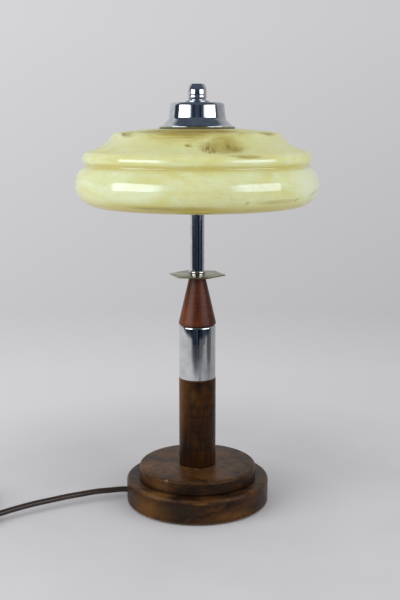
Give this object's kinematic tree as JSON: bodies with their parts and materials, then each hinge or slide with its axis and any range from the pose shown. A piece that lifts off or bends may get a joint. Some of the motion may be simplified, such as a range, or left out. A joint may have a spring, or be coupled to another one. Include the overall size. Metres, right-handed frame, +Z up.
{
  "type": "table lamp",
  "caption": "Table lamp with a stepped turned wood base, column with polished sleeve, chromed tube, marbled glass mushroom shade, bell cap and barrel finial, and a coiled cord.",
  "frame": {"origin": "middle of the felt under the base, on the table", "axes": "+Z up the column, -Y to the front, the cord leaves the base to -X"},
  "size_m": [0.4641, 0.25, 0.4427],
  "materials": {
    "dark_wood": "turned, stained dark brown, worn satin lacquer",
    "felt": "pressed felt",
    "steel": "zinc plated",
    "brass": "plain turned",
    "fibre": "pressed vulcanised fibre",
    "ivory_plastic": "moulded",
    "cord_pvc": "extruded brown PVC sheath",
    "wire_pvc": "extruded insulation",
    "polished_aluminium": "polished",
    "red_wood": "turned, red-brown stain, satin lacquer",
    "chrome": "polished chromium plate",
    "black_phenolic": "moulded phenolic",
    "nickel": "nickel plated",
    "opal_bulb_glass": "opal coated",
    "cork": "cork rubber",
    "marbled_glass": "pressed opaline glass with brown veins, glossy",
    "switch_plastic": "moulded",
    "rocker_plastic": "moulded",
    "tie_fabric": "woven band",
    "plug_rubber": "moulded soft PVC"
  },
  "bodies": {
    "stand": {"felt_pad": "felt", "base_lower_disc": "dark_wood", "base_upper_disc": "dark_wood", "base_screws": "steel", "rod_washer": "steel", "rod_nut": "steel", "through_rod": "brass", "cord_clamp": "fibre", "clamp_screws": "steel", "terminal_block": "ivory_plastic", "cord_inner": "cord_pvc", "core_ends": "wire_pvc", "lamp_wires": "wire_pvc", "column": "dark_wood", "sleeve": "polished_aluminium", "cone": "red_wood", "hex_plate": "chrome", "tube_collar": "chrome", "stem_tube": "chrome", "cluster_body": "steel", "holder_nipples": "brass", "nipple_nuts": "steel", "holder_left": "black_phenolic", "holder_right": "black_phenolic", "contacts_left": "brass", "contacts_right": "brass", "finial_rod": "brass", "riser_tube": "steel", "shade_seat": "steel", "lower_gasket": "cork", "cord_run": "cord_pvc", "switch_base": "switch_plastic", "switch_cover": "switch_plastic", "switch_pin": "steel", "switch_screws": "steel", "switch_terminals": "brass", "cord_link": "cord_pvc", "cord_coil": "cord_pvc", "cord_tail": "cord_pvc", "cord_tie": "tie_fabric", "plug_body": "plug_rubber", "plug_boot": "plug_rubber", "plug_pins": "nickel"},
    "shade": {"shade": "marbled_glass", "upper_gasket": "felt", "bell_cap": "chrome"},
    "finial": {"finial": "chrome"},
    "bulb_left": {"bulb_left_cap": "nickel", "bulb_left_glass": "opal_bulb_glass"},
    "bulb_right": {"bulb_right_cap": "nickel", "bulb_right_glass": "opal_bulb_glass"},
    "rocker": {"switch_rocker": "rocker_plastic"}
  },
  "joints": [
    {"name": "shade_turn", "type": "hinge", "parent": "stand", "child": "shade", "pos_m": [0, 0, 0.3979], "axis": [0, 0, 1], "continuous": true},
    {"name": "finial_turn", "type": "hinge", "parent": "stand", "child": "finial", "pos_m": [0, 0, 0.4314], "axis": [0, 0, 1], "continuous": true},
    {"name": "bulb_left_turn", "type": "hinge", "parent": "stand", "child": "bulb_left", "pos_m": [-0.08, 0, 0.3474], "axis": [-1, 0, 0], "continuous": true},
    {"name": "bulb_right_turn", "type": "hinge", "parent": "stand", "child": "bulb_right", "pos_m": [0.08, 0, 0.3474], "axis": [1, 0, 0], "continuous": true},
    {"name": "switch_rock", "type": "hinge", "parent": "stand", "child": "rocker", "pos_m": [-0.243, -0.0845, 0.011], "axis": [0.5, -0.866, 0], "range_deg": [0, 14]}
  ]
}
